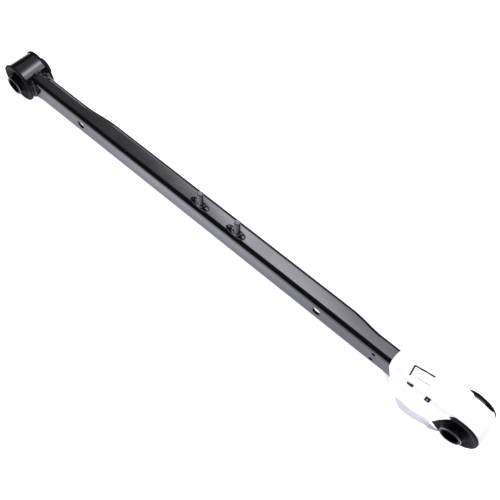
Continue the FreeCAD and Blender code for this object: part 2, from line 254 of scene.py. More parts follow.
@dataclass(frozen=True)
class MouldedRubber:
    """Moulded natural rubber: nearly black, satin, with turned mould rings and a dusty bloom."""

    eye_x: float = 0.0
    name: str = "moulded_rubber"
    colour: str = "0b0b0c"
    bloom: str = "1a1a1c"
    roughness: float = 0.62
    sheen: float = 0.16
    bloom_mm: float = 6.0
    grain_mm: float = 0.5
    grain_depth_mm: float = 0.05
    ring_mm: float = 1.3

    def build(self) -> bpy.types.Material:
        """Make the material."""
        material, tree, shader = new_material(self.name)
        place = add_node(tree, "ShaderNodeTexCoord").outputs["Object"]
        bloom = add_node(tree, "ShaderNodeTexNoise", None,
                         {"Vector": place, "Scale": per_metre(self.bloom_mm), "Detail": 5.0,
                          "Roughness": 0.65})
        tone = add_node(tree, "ShaderNodeMix", {"data_type": "RGBA"},
                        {"Factor": bloom.outputs["Fac"], "A": linear(self.colour),
                         "B": linear(self.bloom)})
        tree.links.new(tone.outputs["Result"], shader.inputs["Base Color"])
        dull = add_node(tree, "ShaderNodeMapRange", None,
                        {"Value": bloom.outputs["Fac"], "To Min": self.roughness - 0.12,
                         "To Max": self.roughness + 0.16})
        tree.links.new(dull.outputs["Result"], shader.inputs["Roughness"])
        grain = add_node(tree, "ShaderNodeTexNoise", None,
                         {"Vector": place, "Scale": per_metre(self.grain_mm), "Detail": 2.0})
        turns = add_node(tree, "ShaderNodeMath", {"operation": "MULTIPLY"},
                         {0: bore_distance(tree, place, self.eye_x),
                          1: 2 * math.pi * per_metre(self.ring_mm)})
        rings = add_node(tree, "ShaderNodeMath", {"operation": "SINE"}, {0: turns.outputs["Value"]})
        both = add_node(tree, "ShaderNodeMath", {"operation": "MULTIPLY_ADD"},
                        {0: rings.outputs["Value"], 1: 0.8, 2: grain.outputs["Fac"]})
        bump = add_node(tree, "ShaderNodeBump", None,
                        {"Height": both.outputs["Value"], "Strength": 0.6,
                         "Distance": self.grain_depth_mm * MM})
        tree.links.new(bump.outputs["Normal"], shader.inputs["Normal"])
        shader.inputs["Specular IOR Level"].default_value = self.sheen
        return material


@dataclass(frozen=True)
class DrawnSteel:
    """Drawn steel tube, phosphated dark, with a painted highlight ring on its outer chamfer and
    lathe rings.
    """

    eye_x: float = 0.0
    name: str = "drawn_steel"
    colour: str = "1e1e20"
    stain: str = "101011"
    chamfer_highlight: str = "8e8e92"
    roughness: float = 0.4
    highlight_from_mm: float = 9.05
    highlight_to_mm: float = 9.5
    ring_mm: float = 0.35
    ring_depth_mm: float = 0.012
    stain_mm: float = 4.0

    def build(self) -> bpy.types.Material:
        """Make the material."""
        material, tree, shader = new_material(self.name)
        place = add_node(tree, "ShaderNodeTexCoord").outputs["Object"]
        stain = add_node(tree, "ShaderNodeTexNoise", None,
                         {"Vector": place, "Scale": per_metre(self.stain_mm), "Detail": 4.0})
        tone = add_node(tree, "ShaderNodeMix", {"data_type": "RGBA"},
                        {"Factor": stain.outputs["Fac"], "A": linear(self.colour),
                         "B": linear(self.stain)})
        # Painted highlight: bright base colour in a ring between these radii from the bore axis, on
        # the sleeve's outer chamfer.
        far = bore_distance(tree, place, self.eye_x)
        past = add_node(tree, "ShaderNodeMath", {"operation": "GREATER_THAN"},
                        {0: far, 1: self.highlight_from_mm * MM})
        short = add_node(tree, "ShaderNodeMath", {"operation": "LESS_THAN"},
                         {0: far, 1: self.highlight_to_mm * MM})
        highlight_ring = add_node(tree, "ShaderNodeMath", {"operation": "MULTIPLY"},
                          {0: past.outputs["Value"], 1: short.outputs["Value"]})
        tone = add_node(tree, "ShaderNodeMix", {"data_type": "RGBA"},
                        {"Factor": highlight_ring.outputs["Value"], "A": tone.outputs["Result"],
                         "B": linear(self.chamfer_highlight)})
        tree.links.new(tone.outputs["Result"], shader.inputs["Base Color"])
        rings = add_node(tree, "ShaderNodeTexWave", {"bands_direction": "Y"},
                         {"Vector": place, "Scale": per_metre(self.ring_mm) / 20,
                          "Distortion": 0.3})
        bump = add_node(tree, "ShaderNodeBump", None,
                        {"Height": rings.outputs["Fac"], "Strength": 0.5,
                         "Distance": self.ring_depth_mm * MM})
        tree.links.new(bump.outputs["Normal"], shader.inputs["Normal"])
        dull = add_node(tree, "ShaderNodeMapRange", None,
                        {"Value": stain.outputs["Fac"], "To Min": self.roughness - 0.08,
                         "To Max": self.roughness + 0.14})
        tree.links.new(dull.outputs["Result"], shader.inputs["Roughness"])
        shader.inputs["Metallic"].default_value = 1.0
        return material


@dataclass(frozen=True)
class WornThread:
    """Rolled thread under thin black paint, worn to steel on its crests and its cut tip.

    The attribute wear is 0 under whole paint and 1 on bare steel.
    """

    name: str = "worn_black_thread"
    paint: str = "151517"
    steel: str = "68686a"
    painted_gloss: float = 0.12
    bare_gloss: float = 0.42
    scratch_mm: float = 0.5

    def build(self) -> bpy.types.Material:
        """Make the material."""
        material, tree, shader = new_material(self.name)
        place = add_node(tree, "ShaderNodeTexCoord").outputs["Object"]
        wear = add_node(tree, "ShaderNodeAttribute", {"attribute_name": "wear"})
        patch = add_node(tree, "ShaderNodeTexNoise", None,
                         {"Vector": place, "Scale": per_metre(self.scratch_mm), "Detail": 3.0})
        share = add_node(tree, "ShaderNodeMath", {"operation": "MULTIPLY_ADD"},
                         {0: patch.outputs["Fac"], 1: 0.8, 2: -0.4})
        total = add_node(tree, "ShaderNodeMath", {"operation": "ADD", "use_clamp": True},
                         {0: wear.outputs["Fac"], 1: share.outputs["Value"]})
        bare = add_node(tree, "ShaderNodeMapRange", None,
                        {"Value": total.outputs["Value"], "From Min": 0.45, "From Max": 0.65})
        tone = add_node(tree, "ShaderNodeMix", {"data_type": "RGBA"},
                        {"Factor": bare.outputs["Result"], "A": linear(self.paint),
                         "B": linear(self.steel)})
        tree.links.new(tone.outputs["Result"], shader.inputs["Base Color"])
        tree.links.new(bare.outputs["Result"], shader.inputs["Metallic"])
        gloss = add_node(tree, "ShaderNodeMapRange", None,
                         {"Value": bare.outputs["Result"], "To Min": self.painted_gloss,
                          "To Max": self.bare_gloss})
        tree.links.new(gloss.outputs["Result"], shader.inputs["Roughness"])
        return material


@dataclass(frozen=True)
class PrintedMark:
    """One dark rectangle printed on the label, in millimetres on the flat sheet.

    u runs along the arm from the label's left edge, v across it from the middle, and turn is
    in degrees.
    """

    u: float
    v: float
    length: float
    width: float
    ink: float = 1.0
    hole: float = 0.0
    turn: float = 0.0


@dataclass(frozen=True)
class LabelStock:
    """White self-adhesive label paper: matt, with fibres, a greyer back and a painted glow.

    The attribute back_and_shade is 0 on the printed face and 1 where the back shows or where
    painted shade greys a layer turned from the light.
    """

    name: str = "white_label_paper"
    face: str = "f6f6f8"
    # back: the paper's grey back, also used as painted shade on the loop's end and on the lower
    # layers
    back: str = "dfdee9"
    ink: str = "0c0c0e"
    roughness: float = 0.62
    fibre_mm: float = 0.7
    crease_mm: float = 9.0
    crease_share: float = 6.0
    crease_depth_mm: float = 0.02
    # Painted glow: the paper emits its own colour at this strength, though no lamp stands behind
    # it.
    painted_glow: float = 0.5
    marks: tuple[PrintedMark, ...] = ()

    def mark_mask(self, tree: bpy.types.NodeTree, flat: bpy.types.NodeSocket,
                  mark: PrintedMark) -> bpy.types.NodeSocket:
        """Mask of one mark: ink where both distances from its centre are under its half sizes.

        A mark with a hole stays white within that distance of its centre.

        Args:
            tree: the material's tree.
            flat: the sheet's own coordinates, in metres.
            mark: the mark.

        Returns:
            The socket with its ink, from 0 to 1.
        """
        centred = add_node(tree, "ShaderNodeVectorMath", {"operation": "SUBTRACT"},
                           {0: flat, 1: (mark.u * MM, mark.v * MM, 0.0)})
        turned = add_node(tree, "ShaderNodeVectorRotate", {"rotation_type": "Z_AXIS"},
                          {"Vector": centred.outputs["Vector"],
                           "Angle": math.radians(-mark.turn)})
        size = add_node(tree, "ShaderNodeVectorMath", {"operation": "ABSOLUTE"},
                        {0: turned.outputs["Vector"]})
        parts = add_node(tree, "ShaderNodeSeparateXYZ", None, {"Vector": size.outputs["Vector"]})
        inside_u = add_node(tree, "ShaderNodeMath", {"operation": "LESS_THAN"},
                            {0: parts.outputs["X"], 1: mark.length / 2 * MM})
        inside_v = add_node(tree, "ShaderNodeMath", {"operation": "LESS_THAN"},
                            {0: parts.outputs["Y"], 1: mark.width / 2 * MM})
        both = add_node(tree, "ShaderNodeMath", {"operation": "MULTIPLY"},
                        {0: inside_u.outputs["Value"], 1: inside_v.outputs["Value"]})
        inked = add_node(tree, "ShaderNodeMath", {"operation": "MULTIPLY"},
                         {0: both.outputs["Value"], 1: mark.ink})
        if mark.hole == 0.0:
            return inked.outputs["Value"]
        far = add_node(tree, "ShaderNodeVectorMath", {"operation": "LENGTH"},
                       {0: centred.outputs["Vector"]})
        outside = add_node(tree, "ShaderNodeMath", {"operation": "GREATER_THAN"},
                           {0: far.outputs["Value"], 1: mark.hole * MM})
        pierced = add_node(tree, "ShaderNodeMath", {"operation": "MULTIPLY"},
                           {0: inked.outputs["Value"], 1: outside.outputs["Value"]})
        return pierced.outputs["Value"]

    def build(self) -> bpy.types.Material:
        """Make the material."""
        material, tree, shader = new_material(self.name)
        place = add_node(tree, "ShaderNodeTexCoord")
        back_and_shade = add_node(tree, "ShaderNodeAttribute", {"attribute_name": "back_and_shade"})
        flat = place.outputs["UV"]
        ink = None
        for mark in self.marks:
            mask = self.mark_mask(tree, flat, mark)
            if ink is None:
                ink = mask
            else:
                ink = add_node(tree, "ShaderNodeMath", {"operation": "MAXIMUM"},
                               {0: ink, 1: mask}).outputs["Value"]
        # Face colour mixed towards the back colour by back_and_shade: partly the paper's back,
        # partly painted shade.
        stock = add_node(tree, "ShaderNodeMix", {"data_type": "RGBA"},
                         {"Factor": back_and_shade.outputs["Fac"], "A": linear(self.face),
                          "B": linear(self.back)})
        tone = stock.outputs["Result"]
        if ink is not None:
            tone = add_node(tree, "ShaderNodeMix", {"data_type": "RGBA"},
                            {"Factor": ink, "A": tone, "B": linear(self.ink)}).outputs["Result"]
        tree.links.new(tone, shader.inputs["Base Color"])
        # Painted glow: the paper's colour, print included, is also emitted, which keeps it white
        # where it would fall into shade.
        tree.links.new(tone, shader.inputs["Emission Color"])
        shader.inputs["Emission Strength"].default_value = self.painted_glow
        fibre = add_node(tree, "ShaderNodeTexNoise", None,
                         {"Vector": place.outputs["Object"], "Scale": per_metre(self.fibre_mm),
                          "Detail": 4.0})
        crease = add_node(tree, "ShaderNodeTexNoise", None,
                          {"Vector": place.outputs["Object"], "Scale": per_metre(self.crease_mm),
                           "Detail": 2.0})
        both = add_node(tree, "ShaderNodeMath", {"operation": "MULTIPLY_ADD"},
                        {0: crease.outputs["Fac"], 1: self.crease_share, 2: fibre.outputs["Fac"]})
        bump = add_node(tree, "ShaderNodeBump", None,
                        {"Height": both.outputs["Value"], "Strength": 0.4,
                         "Distance": self.crease_depth_mm * MM})
        tree.links.new(bump.outputs["Normal"], shader.inputs["Normal"])
        shader.inputs["Roughness"].default_value = self.roughness
        return material


@dataclass
class SurfaceMesh:
    """Grids of points gathered into one mesh, with per-point values that materials read."""

    points: list[np.ndarray] = field(default_factory=list)
    faces: list[np.ndarray] = field(default_factory=list)
    flats: list[np.ndarray] = field(default_factory=list)
    values: list[np.ndarray] = field(default_factory=list)
    count: int = 0

    def add_grid(self, grid: np.ndarray, value: np.ndarray | float = 0.0,
                 flat: np.ndarray | None = None, round_columns: bool = False,
                 flip: bool = False) -> None:
        """Add a grid of points with a four-sided face in each cell.

        Args:
            grid: points by row and column, shape (rows, columns, 3), in metres.
            value: what the attribute holds at each point.
            flat: the sheet's own coordinates at each point, shape (rows, columns, 2).
            round_columns: join the last column to the first.
            flip: turn the faces round.
        """
        rows, columns = grid.shape[:2]
        index = np.arange(rows * columns).reshape(rows, columns) + self.count
        if round_columns:
            index = np.concatenate([index, index[:, :1]], axis=1)
        corners = [index[:-1, :-1], index[:-1, 1:], index[1:, 1:], index[1:, :-1]]
        if flip:
            corners.reverse()
        self.faces.append(np.stack(corners, axis=-1).reshape(-1, 4))
        self.points.append(grid.reshape(-1, 3))
        self.values.append(np.broadcast_to(value, (rows, columns)).reshape(-1))
        flats = np.zeros((rows, columns, 2)) if flat is None else flat
        self.flats.append(flats.reshape(-1, 2))
        self.count += rows * columns

    def make(self, name: str, attribute: str) -> bpy.types.Object:
        """Turn the grids into one smooth object at the origin.

        Args:
            name: the piece's name.
            attribute: the name of the per-point value.

        Returns:
            The new object, linked to the scene.
        """
        mesh = bpy.data.meshes.new(name)
        faces = np.concatenate(self.faces)
        mesh.from_pydata(np.concatenate(self.points).tolist(), [], faces.tolist())
        mesh.polygons.foreach_set("use_smooth", np.ones(len(mesh.polygons), bool))
        held = mesh.attributes.new(attribute, "FLOAT", "POINT")
        held.data.foreach_set("value", np.concatenate(self.values).astype(np.float32))
        layer = mesh.uv_layers.new(name="flat")
        loops = np.zeros(len(mesh.loops), np.int32)
        mesh.loops.foreach_get("vertex_index", loops)
        layer.data.foreach_set("uv", np.concatenate(self.flats)[loops].astype(np.float32).ravel())
        mesh.update()
        piece = bpy.data.objects.new(name, mesh)
        bpy.context.scene.collection.objects.link(piece)
        return piece


def dress(node: str, material: bpy.types.Material) -> None:
    """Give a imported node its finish.

    Args:
        node: the node's name.
        material: its finish.
    """
    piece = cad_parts[node]
    piece.data.materials.clear()
    piece.data.materials.append(material)


def smooth_step(value: np.ndarray) -> np.ndarray:
    """Rise from 0 to 1 with a level start and end: 3 t squared less 2 t cubed, t held to 0..1."""
    held = np.clip(value, 0.0, 1.0)
    return held * held * (3 - 2 * held)


@dataclass
class PressedArm:
    """The pressed channel and its weld beads."""

    paint: bpy.types.Material
    weld: bpy.types.Material

    def dress(self) -> None:
        """Paint the channel and the beads."""
        dress("channel_arm", self.paint)
        for side in Side:
            for place in ("web", "near", "far"):
                dress(f"{side.value}_{place}_weld", self.weld)
        LOG.info("pressed channel and its beads painted")


@dataclass
class BushedEye:
    """One eye tube with its bush."""

    side: Side
    paint: bpy.types.Material

    def dress(self) -> None:
        """Finish the tube, the shell, the rubber and the sleeve."""
        name = self.side.value
        low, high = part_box(f"{name}_eye_tube")
        middle = (low.x + high.x) / 2
        steel = DrawnSteel(eye_x=middle, name=f"{name}_drawn_steel").build()
        rubber = MouldedRubber(eye_x=middle, name=f"{name}_moulded_rubber").build()
        dress(f"{name}_eye_tube", self.paint)
        dress(f"{name}_bush_shell", steel)
        dress(f"{name}_bush_rubber", rubber)
        dress(f"{name}_inner_sleeve", steel)
        LOG.info("%s eye finished", name)


@dataclass
class BracketStud:
    """A threaded stud on its oblong dished flange.

    rim holds the flange's half lengths to the left, to the right and across the arm. profile
    pairs the share of the way from shank to rim with a height in millimetres.
    """

    side: Side
    thread: bpy.types.Material
    paint: bpy.types.Material
    radius: float = 3.0 * MM
    pitch: float = 1.0 * MM
    depth: float = 0.16 * MM
    crest_wear: float = 0.52
    chamfer_wear: float = 0.25
    tip_wear: float = 0.9
    rim: tuple[float, float, float] = (12.4 * MM, 9.4 * MM, 4.0 * MM)
    rim_power: float = 2.6
    profile: tuple[tuple[float, float], ...] = (
        (0.0, 4.8), (0.04, 3.6), (0.09, 2.9), (0.15, 2.7), (0.22, 3.0), (0.3, 3.1), (0.37, 2.7),
        (0.5, 1.9), (0.65, 1.5), (0.8, 1.15), (0.92, 0.8), (1.0, 0.0))
    plain: float = 3.4 * MM
    chamfer: float = 0.8 * MM
    around: int = 72
    per_pitch: int = 10
    flange_rows: int = 33

    def thread_grid(self, low: Vector, high: Vector) -> tuple[np.ndarray, np.ndarray]:
        """Surface of the shank: a round bar with a helical groove.

        The radius at angle a and height z is the outer radius less the groove depth times a
        triangle wave of z over pitch less a over a full turn, eased in above the plain foot and
        cut back at 45 degrees in the chamfer. Rows run up the stud and close over its tip.

        Args:
            low: lowest corner of the stud's box.
            high: highest corner.

        Returns:
            The grid of points and the wear at each.
        """
        height = high.z - low.z
        rows = int(height / self.pitch * self.per_pitch)
        z = np.linspace(0.0, height, rows)[:, None]
        angle = np.linspace(0.0, 2 * math.pi, self.around, endpoint=False)[None, :]
        turn = z / self.pitch - angle / (2 * math.pi)
        wave = np.abs(2 * (turn - np.floor(turn)) - 1)
        crest = np.clip(1.25 * wave - 0.125, 0.0, 1.0)
        grown = smooth_step((z - self.plain) / self.pitch)
        radius = self.radius - self.depth * (1 - crest) * grown
        radius = np.minimum(radius, self.radius - np.maximum(z - height + self.chamfer, 0.0))
        near_tip = smooth_step((z - height + 2 * self.chamfer) / self.chamfer)
        wear = self.crest_wear * crest * grown + self.chamfer_wear * near_tip
        tip_shares = np.array([0.98, 0.9, 0.6, 0.3, 0.0])[:, None]
        radius = np.concatenate([radius, tip_shares * radius[-1:]])
        z = np.concatenate([z, np.full((len(tip_shares), 1), height)])
        tip = np.full((len(tip_shares), self.around), self.tip_wear)
        wear = np.concatenate([wear * np.ones_like(angle), tip])
        centre = (low + high) / 2
        x = centre.x + radius * np.cos(angle)
        y = centre.y + radius * np.sin(angle)
        return np.stack([x, y, low.z + z * np.ones_like(angle)], axis=-1), wear

    def flange_grid(self, low: Vector, high: Vector, seat: float) -> np.ndarray:
        """Dished flange at the foot, from the shank out to an oblong rim.

        At each angle the rim's distance is a superellipse whose left and right half lengths
        differ. Between shank and rim the height follows the profile: a flared foot, a raised
        ring round it, a slope outwards and a rolled edge down to the web.

        Args:
            low: lowest corner of the stud's box.
            high: highest corner.
            seat: height of the web under the flange.

        Returns:
            The grid of points.
        """
        angle = np.linspace(0.0, 2 * math.pi, self.around, endpoint=False)[None, :]
        left, right, across = self.rim
        along = np.where(np.cos(angle) < 0, left, right)
        reach = (np.abs(np.cos(angle) / along) ** self.rim_power
                 + np.abs(np.sin(angle) / across) ** self.rim_power) ** (-1 / self.rim_power)
        places = np.array([place for place, _ in self.profile])
        heights = np.array([height for _, height in self.profile])
        share = np.linspace(0.0, 1.0, self.flange_rows)[:, None]
        root = self.radius - self.depth
        radius = root + (reach - root) * share
        z = seat + np.interp(share, places, heights) * MM
        centre = (low + high) / 2
        x = centre.x + radius * np.cos(angle)
        y = centre.y + radius * np.sin(angle)
        return np.stack([x, y, z * np.ones_like(angle)], axis=-1)

    def build(self) -> None:
        """Make the threaded stud and its flange."""
        name = self.side.value
        low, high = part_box(f"{name}_stud")
        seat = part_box(f"{name}_stud_plate")[0].z
        shank = SurfaceMesh()
        grid, wear = self.thread_grid(low, high)
        shank.add_grid(grid, wear, round_columns=True)
        stud = shank.make(f"{name}_threaded_stud", "wear")
        stud.data.materials.append(self.thread)
        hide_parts(f"{name}_stud")
        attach(stud, "root")
        dish = SurfaceMesh()
        dish.add_grid(self.flange_grid(low, high, seat), round_columns=True, flip=True)
        flange = dish.make(f"{name}_dished_flange", "wear")
        flange.data.materials.append(self.paint)
        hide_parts(f"{name}_stud_plate")
        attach(flange, "root")
        LOG.info("%s stud built", name)


Steps = tuple[tuple[float, float], ...]


@dataclass
class WrapLabel:
    """Blank paper label wrapped round the right eye and stuck to the neck of the arm.

    Each field of steps pairs a distance along the arm from the label's left edge with a height,
    depth or width there, both in millimetres.
    """

    paper: bpy.types.Material
    shoulder: float = 41.5 * MM
    slack: float = 3.0 * MM
    lip_gap: float = 0.35 * MM
    gap: float = 0.15 * MM
    neck: float = 8.5 * MM
    collar_rise: float = 1.6 * MM
    thickness: float = 0.25 * MM
    fold_neck: float = 3.0 * MM
    fold_eye: float = 5.5 * MM
    chord_low: float = -16.6 * MM
    chord_high: float = -9.7 * MM
    edge_slant: float = 9.3 * MM
    edge_setback: float = 1.5 * MM
    edge_curve: float = 0.9 * MM
    edge_power: float = 1.3
    chord_power: float = 0.8
    shoulder_reach: float = 6.0 * MM
    shoulder_power: float = 1.5
    far_inset: float = 2.1 * MM
    lead: float = 12.0 * MM
    tail: float = 16.0 * MM
    shaded_from: float = 44.0
    shaded_turn: float = 5.0
    tray_start: float = 1.0 * MM
    tray_slant: float = 3.0 * MM
    tray_inset: float = 0.4 * MM
    fin_depth: float = 18.75 * MM
    fin_sag: float = 0.2 * MM
    fin_wave: float = 0.12 * MM
    hem: Steps = ((0.0, -9.2), (8.5, -10.2), (12.5, -13.6), (16.5, -16.6), (20.5, -17.8),
                  (25.4, -18.3), (36.0, -18.5), (43.4, -14.9), (49.7, -11.0), (54.4, -10.8),
                  (62.0, -10.0))
    lean: Steps = ((0.0, 0.0), (8.5, 1.4), (12.5, 2.9), (16.5, 3.6), (22.5, 3.0), (28.5, 1.8),
                   (38.5, 0.9), (62.0, 0.3))
    tray_half: Steps = ((1.0, 7.6), (5.5, 9.6), (11.0, 12.0), (16.5, 13.7), (23.0, 14.9),
                        (42.0, 15.1), (62.0, 15.1))
    tray_depth: Steps = ((1.0, 11.4), (5.5, 14.2), (11.0, 16.6), (16.5, 17.9), (23.0, 18.5),
                         (42.0, 18.6), (62.0, 18.7))
    tray_top: Steps = ((8.5, 9.3), (12.5, 2.0))
    fin_root: Steps = ((18.5, 13.9), (23.0, 14.9))
    fin_width: Steps = ((18.5, 0.3), (23.2, 2.6), (26.0, 4.9), (31.0, 6.6), (40.5, 6.7),
                        (48.1, 5.1), (52.2, 4.1), (56.9, 4.3), (62.4, 2.1), (65.0, 0.6))

    def __post_init__(self) -> None:
        """Read the places that the paper goes round."""
        tube_low, tube_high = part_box("right_eye_tube")
        rubber_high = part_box("right_bush_rubber")[1]
        arm_low, arm_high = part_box("channel_arm")
        self.eye_x = (tube_low.x + tube_high.x) / 2
        self.tube_r = (tube_high.z - tube_low.z) / 2
        self.tube_half = tube_high.y
        self.lip_face = rubber_high.y - self.collar_rise
        self.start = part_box("blank_label")[0].x
        self.web_z = arm_high.z
        self.foot_z = arm_low.z

    def along(self, steps: Steps, x: np.ndarray) -> np.ndarray:
        """Value of the steps at each x, in metres, with straight lines between the steps."""
        places = np.array([place for place, _ in steps]) * MM
        return np.interp(x - self.start, places, np.array([value for _, value in steps]) * MM)

    def half_width(self, x: np.ndarray) -> np.ndarray:
        """Half width of the sleeve: snug on the neck, eased out to clear the lip faces."""
        snug = self.neck + self.gap
        full = self.lip_face + self.lip_gap
        return snug + (full - snug) * smooth_step((x - self.start) / self.shoulder)

    def height(self, x: np.ndarray, rest: float) -> np.ndarray:
        """Height of a panel: from rest on the arm out to the tube along a quarter sine."""
        share = np.clip((x - self.start) / (self.eye_x - self.start), 0.0, 1.0)
        return rest + (self.tube_r + self.gap - rest) * np.sin(share * math.pi / 2)

    def fold_radius(self, x: np.ndarray) -> np.ndarray:
        """Radius of the fold between top and side, from the neck to the eye."""
        return self.fold_neck + (self.fold_eye - self.fold_neck) * smooth_step(
            (x - self.start) / self.shoulder)

    def crumple(self, x: np.ndarray, s: np.ndarray) -> np.ndarray:
        """Small waves in the paper: three crossed sine waves, strongest away from the metal."""
        u = x / MM
        v = s / MM
        waves = (0.16 * np.sin(0.31 * u + 0.22 * v) + 0.11 * np.sin(0.53 * u - 0.41 * v + 1.3)
                 + 0.07 * np.sin(0.9 * v + 0.2 * u + 0.4))
        loose = smooth_step((x - self.start) / (0.4 * self.shoulder))
        return waves * MM * loose

    def top_grid(self) -> tuple[np.ndarray, np.ndarray]:
        """Top of the sleeve with its two skirts.

        Across the arm the sheet runs up the near skirt, round a quarter-circle fold, over the
        flat top and down the far side. Along the arm each line runs from the left edge, which
        slants and curves in, to the right edge, which slants and reaches the loop at the fold.

        Returns:
            The grid of points and their places on the flat sheet.
        """
        share = np.linspace(0.0, 1.0, 90)[:, None]
        skirt = np.linspace(1.0, 0.0, 22)
        fold = np.linspace(1.0, 0.0, 12)[1:]
        top = np.linspace(-1.0, 1.0, 27)[1:-1]
        level = np.zeros(2 * len(fold) + len(top))
        down = np.concatenate([skirt, level, skirt[::-1]])[None, :]
        turn = np.concatenate([np.ones(len(skirt)), fold, np.zeros(len(top)), fold[::-1],
                               np.ones(len(skirt))])[None, :]
        flat = np.concatenate([-np.ones(len(skirt) + len(fold)), top,
                               np.ones(len(fold) + len(skirt))])[None, :]
        side = np.sign(flat + 1e-9)
        left = (self.start + self.edge_setback + self.edge_slant * down ** self.edge_power
                + self.edge_curve * (turn + np.maximum(flat, 0.0) ** 2))
        right = (self.eye_x + self.chord_high
                 + (self.chord_low - self.chord_high) * down ** self.chord_power
                 + self.shoulder_reach * np.clip(1 - turn, 0.0, 1.0) ** self.shoulder_power)
        x = left + share * (right - left)
        half = self.half_width(x)
        crown = self.height(x, self.web_z + self.gap)
        radius = self.fold_radius(x)
        angle = turn * math.pi / 2
        drop = (crown - radius - self.along(self.hem, x)) * down
        y_fold = half - radius + radius * np.sin(angle) + down * self.along(self.lean, x)
        y = np.where(np.abs(flat) < 1, flat * (half - radius), side * y_fold)
        z = crown - radius + radius * np.cos(angle) - drop
        s = np.where(np.abs(flat) < 1, flat * (half - radius),
                     side * (half - radius + radius * angle + drop))
        wave = self.crumple(x, s)
        y = y + side * np.abs(np.sin(angle)) * (np.abs(wave) + 0.05 * MM)
        z = z + np.cos(angle) * np.abs(wave)
        return np.stack([x, y, z], axis=-1), np.stack([x - self.start, s], axis=-1)

    def loop_grid(self) -> tuple[np.ndarray, np.ndarray, np.ndarray]:
        """Loop round the end of the tube, with its far edge set in until the paper turns down.

        The path runs along the top to the tube's crest, round half a circle that stands off the
        end of the tube by the slack, most at mid width, and back along the bottom. The
        back_and_shade
        value is painted shade: it rises where the paper has turned past shaded_from degrees from
        upright, fully where the paper stands past the tube's axis and to 0.6 elsewhere.

        Returns:
            The grid of points, their places on the flat sheet, and the backing value.
        """
        lead = np.linspace(self.eye_x - self.lead, self.eye_x, 14)[:-1]
        angle = np.linspace(math.pi / 2, -math.pi / 2, 60)
        back = np.linspace(self.eye_x, self.eye_x - self.tail, 16)[1:]
        rise = self.tube_r + self.gap
        round_end = np.cos(angle)
        half = self.tube_half - self.gap
        share = np.linspace(0.0, 1.0, 31)[None, :]
        inset = self.far_inset * (1 - smooth_step((round_end - 0.45) / 0.3))
        inset = np.concatenate([0 * lead + self.far_inset, inset, 0 * back])[:, None]
        y = share * (2 * half - inset) - half
        loose = 0.25 + 0.75 * np.abs(1 - (y / half) ** 2) ** 0.7
        stand = np.concatenate([0 * lead, round_end, 0 * back])[:, None]
        x = np.concatenate([lead, self.eye_x + rise * round_end, back])[:, None]
        x = x + self.slack * stand * loose
        z = np.concatenate([self.height(lead, self.web_z + self.gap), rise * np.sin(angle),
                            -self.height(back, self.gap - self.foot_z)])[:, None] + 0 * y
        run = np.concatenate([[0.0], np.cumsum(np.hypot(np.diff(x[:, 0]), np.diff(z[:, 0])))])
        s = run[:, None] + (self.eye_x - self.lead - self.start) + 0 * y
        wave = self.crumple(s + self.start, y)
        off = smooth_step((s - 50 * MM) / (20 * MM))
        x = x + wave * off * 0.6
        tilt = np.degrees(np.arctan2(x - self.eye_x, z))
        shaded_from = self.shaded_from + self.shaded_turn * y / half
        past = smooth_step((tilt - shaded_from) / self.shaded_turn)
        # Painted shade: the paper greys where it turns away from the light.
        back_and_shade = past * np.where(x > self.eye_x, 1.0, 0.6)
        grid = np.stack([x, y + 0 * x, z], axis=-1)
        return grid, np.stack([s, y + 0 * x + 0.2], axis=-1), back_and_shade

    def under_grid(self) -> np.ndarray:
        """Lower layer: a tray under the arm whose sides stand inside the skirts.

        Across the arm it runs down the near side, across under the bottom, and up the far side.
        Its lower corners spread and sink from the foot of the arm to the tube's depth.

        Returns:
            The grid of points.
        """
        share = np.linspace(0.0, 1.0, 70)[:, None]
        wall = np.linspace(1.0, 0.0, 14)[:-1]
        floor = np.linspace(-1.0, 1.0, 21)
        up = np.concatenate([wall, np.zeros(len(floor)), wall[::-1]])[None, :]
        across = np.concatenate([-np.ones(len(wall)), floor, np.ones(len(wall))])[None, :]
        left = self.start + self.tray_start
        right = self.eye_x + self.chord_low + self.tray_slant * up
        x = left + share * (right - left)
        low_half = self.along(self.tray_half, x)
        depth = self.along(self.tray_depth, x)
        top_half = np.maximum(self.half_width(x) - self.tray_inset, self.neck + self.gap)
        y = across * (low_half + up * (top_half - low_half))
        z = -depth + up * (depth - self.along(self.tray_top, x))
        return np.stack([x, y + 0 * z, z], axis=-1)

    def fin_grid(self) -> np.ndarray:
        """Free edge along the near lower corner, wide in its middle and a little wavy.

        Its width along the arm follows its steps, and it lies nearly flat at the tube's depth.

        Returns:
            The grid of points.
        """
        first = self.start + self.fin_width[0][0] * MM
        last = self.start + self.fin_width[-1][0] * MM
        x = np.linspace(first, last, 90)[:, None]
        out = np.linspace(0.0, 1.0, 9)[None, :]
        ragged = 1 + 0.03 * np.sin(x / MM * 0.9) + 0.02 * np.sin(x / MM * 0.37 + 1.0)
        y = -self.along(self.fin_root, x) - out * self.along(self.fin_width, x) * ragged
        z = -self.fin_depth - self.fin_sag * out + self.fin_wave * np.sin(x / MM * 0.25) * out
        return np.stack([x + 0 * y, y, z + 0 * y], axis=-1)

    def build(self) -> None:
        """Make the label from its four stretches of paper."""
        shape = SurfaceMesh()
        grid, flat = self.top_grid()
        shape.add_grid(grid, 0.0, flat)
        grid, flat, back_and_shade = self.loop_grid()
        shape.add_grid(grid, back_and_shade, flat, flip=True)
        # Painted shade: the lower layer and the free edge take most or all of the grey back colour,
        # partly as the paper's back and partly as shade under the arm.
        shape.add_grid(self.under_grid(), 0.9, flip=True)
        shape.add_grid(self.fin_grid(), 1.0)
        label = shape.make("blank_paper_label", "back_and_shade")
        label.data.materials.append(self.paper)
        wall = label.modifiers.new("paper thickness", "SOLIDIFY")
        wall.thickness = self.thickness
        wall.offset = 1.0
        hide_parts("blank_label")
        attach(label, "root")
        LOG.info("paper label built")


